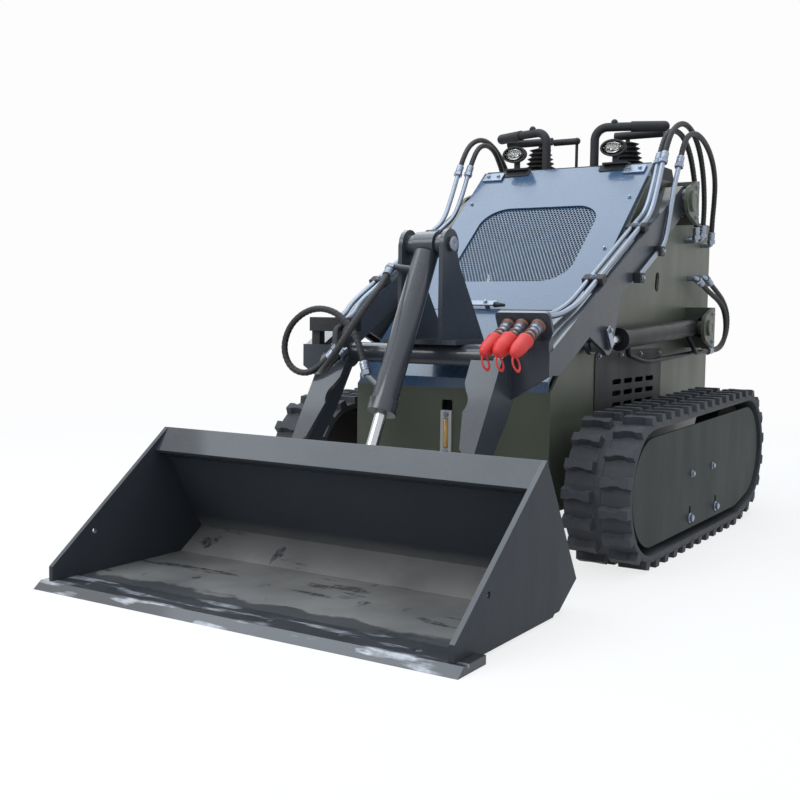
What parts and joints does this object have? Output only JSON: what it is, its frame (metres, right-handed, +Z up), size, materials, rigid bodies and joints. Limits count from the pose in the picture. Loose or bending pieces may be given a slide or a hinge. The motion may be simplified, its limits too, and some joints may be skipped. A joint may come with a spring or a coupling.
{
  "type": "stand-on tracked skid steer loader",
  "caption": "Compact stand-on tracked loader with straight loader arms, lift and tilt cylinders, a low bucket, rubber tracks, a sloping mesh hood and a rear operator's platform.",
  "frame": {"origin": "on the ground, under the middle of the whole machine's bounding box", "axes": "+Z up, the loader faces -Y with its bucket, its own left side is +X"},
  "size_m": [1.136, 2.474, 1.283],
  "materials": {
    "body_paint": "semi-gloss olive paint",
    "hood_paint": "gloss slate blue-grey paint",
    "frame_paint": "satin black paint with dust",
    "cover_paint": "dusty dark green paint",
    "black_paint": "gloss black paint",
    "console_paint": "fine-textured black paint",
    "bucket_paint": "scuffed satin black paint",
    "edge_steel": "worn steel",
    "mesh_steel": "perforated black sheet",
    "engine_iron": "plain mass, out of sight",
    "lamp_plastic": "black housing with a clear lens",
    "gaiter_rubber": "matt moulded rubber",
    "gauge_glass": "amber sight glass in a dark frame",
    "zinc_steel": "zinc plated",
    "rod_chrome": "hard chrome",
    "hose_rubber": "hydraulic hose cover",
    "track_rubber": "worn moulded rubber"
  },
  "bodies": {
    "root": {"chassis": "body_paint", "console": "console_paint", "deck": "body_paint", "engine_block": "engine_iron", "fittings": "zinc_steel", "front_panel": "body_paint", "hand_bar": "black_paint", "hood": "hood_paint", "hood_apron": "hood_paint", "hood_mesh": "hood_paint", "hoses_arm_left": "hose_rubber", "hoses_arm_right": "hose_rubber", "hoses_lift_left": "hose_rubber", "hoses_lift_right": "hose_rubber", "level_gauge": "gauge_glass", "levers": "gaiter_rubber", "lift_brackets": "body_paint", "pivot_brackets": "body_paint", "platform": "black_paint", "rear_panel": "body_paint", "track_covers": "cover_paint", "track_left": "track_rubber", "track_right": "track_rubber", "undercarriage_left": "frame_paint", "undercarriage_right": "frame_paint", "vent_panels": "mesh_steel", "work_lamps": "lamp_plastic"},
    "lift_arm": {"arm_left": "black_paint", "arm_right": "black_paint", "leg_left": "black_paint", "leg_right": "black_paint", "cross_tube": "black_paint", "tilt_tower": "black_paint", "coupler_plate": "black_paint", "couplers": "zinc_steel", "arm_lines": "zinc_steel", "hoses_tilt": "hose_rubber", "valve_block": "black_paint"},
    "lift_barrel_left": {"lift_barrel_left": "black_paint"},
    "lift_barrel_right": {"lift_barrel_right": "black_paint"},
    "lift_rod_left": {"lift_rod_left": "rod_chrome"},
    "lift_rod_right": {"lift_rod_right": "rod_chrome"},
    "tilt_barrel": {"tilt_barrel": "black_paint"},
    "tilt_rod": {"tilt_rod": "rod_chrome"},
    "bucket": {"bucket_shell": "bucket_paint", "cutting_edge": "edge_steel", "coupling_plate": "bucket_paint"}
  },
  "joints": [
    {"name": "arm_lift", "type": "hinge", "parent": "root", "child": "lift_arm", "pos_m": [0, 0.515, 1.012], "axis": [-1, 0, 0], "range_deg": [0, 80], "deforming": ["hoses_arm_left", "hoses_arm_right"]},
    {"name": "bucket_tilt", "type": "hinge", "parent": "lift_arm", "child": "bucket", "pos_m": [0, -0.64, 0.165], "axis": [1, 0, 0], "range_deg": [-25, 95]},
    {"name": "lift_barrel_left_swing", "type": "hinge", "parent": "root", "child": "lift_barrel_left", "pos_m": [0.345, 0.728, 0.616], "axis": [-1, 0, 0], "range_deg": [0, 55], "deforming": ["hoses_lift_left"]},
    {"name": "lift_rod_left_slide", "type": "slide", "parent": "lift_barrel_left", "child": "lift_rod_left", "axis": [0, -0.9989, -0.0459], "range_m": [0, 0.405]},
    {"name": "lift_barrel_right_swing", "type": "hinge", "parent": "root", "child": "lift_barrel_right", "pos_m": [-0.345, 0.728, 0.616], "axis": [-1, 0, 0], "range_deg": [0, 55], "deforming": ["hoses_lift_right"]},
    {"name": "lift_rod_right_slide", "type": "slide", "parent": "lift_barrel_right", "child": "lift_rod_right", "axis": [0, -0.9989, -0.0459], "range_m": [0, 0.405]},
    {"name": "tilt_barrel_swing", "type": "hinge", "parent": "lift_arm", "child": "tilt_barrel", "pos_m": [0, -0.413, 0.833], "axis": [1, 0, 0], "range_deg": [-0.5, 1.2], "deforming": ["hoses_tilt"]},
    {"name": "tilt_rod_slide", "type": "slide", "parent": "tilt_barrel", "child": "tilt_rod", "axis": [0, -0.4536, -0.8912], "range_m": [-0.045, 0.17]}
  ],
  "couplings": [
    {"joint": "lift_barrel_left_swing", "follows": "arm_lift", "ratio": 0.68},
    {"joint": "lift_rod_left_slide", "follows": "arm_lift", "m_per_rad": 0.28648},
    {"joint": "lift_barrel_right_swing", "follows": "arm_lift", "ratio": 0.68},
    {"joint": "lift_rod_right_slide", "follows": "arm_lift", "m_per_rad": 0.28648},
    {"joint": "tilt_barrel_swing", "follows": "bucket_tilt", "ratio": 0.01},
    {"joint": "tilt_rod_slide", "follows": "bucket_tilt", "m_per_rad": 0.10027}
  ]
}
